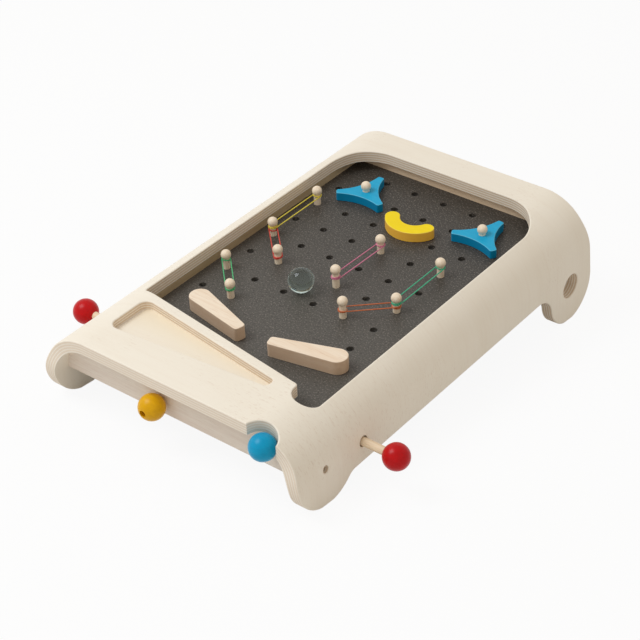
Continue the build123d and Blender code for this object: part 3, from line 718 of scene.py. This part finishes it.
# %% Glass marble
MARBLE_RADIUS = 12.5 * MM
DIMPLE_DEPTH = 0.015 * MM
DIMPLE_REACH = 7 * MM
TIP_DEPTH = 0.01 * MM
MARBLE_FINENESS = 6
MARBLE_TILT = math.radians(50)
MARBLE_SPIN = math.radians(25)

bpy.ops.object.select_all(action="DESELECT")
bpy.ops.mesh.primitive_ico_sphere_add(subdivisions=MARBLE_FINENESS, radius=MARBLE_RADIUS)
clear_marble = bpy.context.object
clear_marble.name = "clear_marble"
bpy.ops.object.mode_set(mode="EDIT")
bpy.ops.mesh.select_mode(type="VERT")
for hand in (-1, 1):
    pick(clear_marble, "verts", lambda point, middle: middle.z * hand > MARBLE_RADIUS - TIP_DEPTH)
    bpy.ops.transform.translate(
        value=(0, 0, -hand * DIMPLE_DEPTH),
        use_proportional_edit=True,
        proportional_edit_falloff="SMOOTH",
        proportional_size=DIMPLE_REACH,
    )
bpy.ops.object.mode_set(mode="OBJECT")
marble_turn = Matrix.Rotation(MARBLE_TILT, 4, "X") @ Matrix.Rotation(MARBLE_SPIN, 4, "Y")
marble_place = Matrix.Translation(middle_of("marble")) @ marble_turn
settle(clear_marble, marble_place, glass, "marble", "ball")
print(clear_marble.name, len(clear_marble.data.polygons), "faces")

# %% [markdown]
# The picture is taken from the right front, a little over thirty degrees above the table, with a
# long lens. The camera aims at a point inside the game and leans by about a degree and a half.

# %% Camera
CAMERA_PLACE = Vector((0.853, -1.1236, 0.901))
CAMERA_AIM = Vector((0.0183, -0.0355, 0.06))
CAMERA_LEAN = math.radians(1.41)
CAMERA_LENS = 97.63
SENSOR_WIDTH = 36.0

bpy.ops.object.select_all(action="DESELECT")
bpy.ops.object.camera_add(location=CAMERA_PLACE)
camera = bpy.context.object
camera.name = "catalogue_camera"
look = (CAMERA_AIM - CAMERA_PLACE).to_track_quat("-Z", "Y").to_matrix()
camera.rotation_euler = (look @ Matrix.Rotation(CAMERA_LEAN, 3, "Z")).to_euler()
camera.data.lens = CAMERA_LENS
camera.data.sensor_width = SENSOR_WIDTH
bpy.context.scene.camera = camera
print("camera at", tuple(round(value, 3) for value in CAMERA_PLACE))

# %% [markdown]
# A white studio is a pale floor, an even sky and one large soft lamp. The floor and the sky turn
# white only for what the camera, a reflection or a glass sees of them; the light that falls on the
# game stays plain and a little warm, and the floor keeps a faint shadow. From below the floor is
# clear, so that the linkage under the board can be looked at.

# %% Floor
FLOOR_SIZE = 60.0
FLOOR_WHITE_SHARE = 0.92
FLOOR_COLOUR = shade(232, 231, 229)
FLOOR_ROUGHNESS = 0.9


def seen_share(wire):
    """1 where a camera, mirror or glass ray arrives, 0 for the light that falls on things."""
    camera_ray = wire.node("ShaderNodeLightPath", out="Is Camera Ray")
    glossy_ray = wire.node("ShaderNodeLightPath", out="Is Glossy Ray")
    glass_ray = wire.node("ShaderNodeLightPath", out="Is Transmission Ray")
    seen = wire.math("MAXIMUM", wire.math("MAXIMUM", camera_ray, glossy_ray), glass_ray)
    scattered = wire.node("ShaderNodeLightPath", out="Diffuse Depth")
    return seen * (1 - wire.math("MINIMUM", scattered, 1.0))


bpy.ops.object.select_all(action="DESELECT")
bpy.ops.mesh.primitive_plane_add(size=FLOOR_SIZE)
floor = bpy.context.object
floor.name = "studio_floor"
floor_material = bpy.data.materials.new("studio_paper")
floor_material.use_nodes = True
floor_wire = Wire(floor_material.node_tree)
paper = floor_material.node_tree.nodes["Principled BSDF"]
paper.inputs["Base Color"].default_value = FLOOR_COLOUR
paper.inputs["Roughness"].default_value = FLOOR_ROUGHNESS
white = floor_wire.node("ShaderNodeEmission", sockets={"Strength": 1.0})
blend_share = seen_share(floor_wire) * FLOOR_WHITE_SHARE
paper_wire = Wire(floor_material.node_tree, paper.outputs[0])
upper_side = floor_wire.node("ShaderNodeMixShader", sockets={0: blend_share, 1: paper_wire, 2: white})
from_below = floor_wire.node("ShaderNodeNewGeometry", out="Backfacing")
clear = floor_wire.node("ShaderNodeBsdfTransparent")
floor_mix = floor_wire.node("ShaderNodeMixShader", sockets={0: from_below, 1: upper_side, 2: clear})
floor_material.node_tree.links.new(
    floor_mix.socket, floor_material.node_tree.nodes["Material Output"].inputs["Surface"]
)
floor.data.materials.append(floor_material)
print("laid", floor.name)

# %% [markdown]
# The sky is dimmer and warmer as a light than it is to look at, and the lamp is a little cool, as
# daylight from a window would be. The lamp stands to the left of the player, so the right wall
# lies in soft shade. Glass doesn't see the lamp, which keeps hard spots out of the marble.

# %% Sky and lamp
SKY_LEVEL = 0.58
SKY_TINT = (1.0, 0.93, 0.845, 1.0)
WHITE = (1.0, 1.0, 1.0, 1.0)
KEY_PLACE = Vector((-0.95, -1.0, 1.85))
KEY_SIZE = 1.1
KEY_POWER = 25.5
KEY_TINT = (0.88, 0.935, 1.0)

world = bpy.data.worlds.new("studio_sky")
bpy.context.scene.world = world
world.use_nodes = True
sky = Wire(world.node_tree)
sky_background = world.node_tree.nodes["Background"]
seen = seen_share(sky)
sky_colour = mix(sky, seen, SKY_TINT, WHITE)
sky_strength = SKY_LEVEL + seen * (1 - SKY_LEVEL)
world.node_tree.links.new(sky_colour.socket, sky_background.inputs["Color"])
world.node_tree.links.new(sky_strength.socket, sky_background.inputs["Strength"])

bpy.ops.object.light_add(type="AREA", location=KEY_PLACE)
key = bpy.context.object
key.name = "key_lamp"
key.data.shape = "SQUARE"
key.data.size = KEY_SIZE
key.data.energy = KEY_POWER
key.data.color = KEY_TINT
key.visible_transmission = False
key.rotation_euler = (-KEY_PLACE).to_track_quat("-Z", "Y").to_euler()
bpy.context.scene.view_settings.view_transform = "Standard"
print("studio is lit")
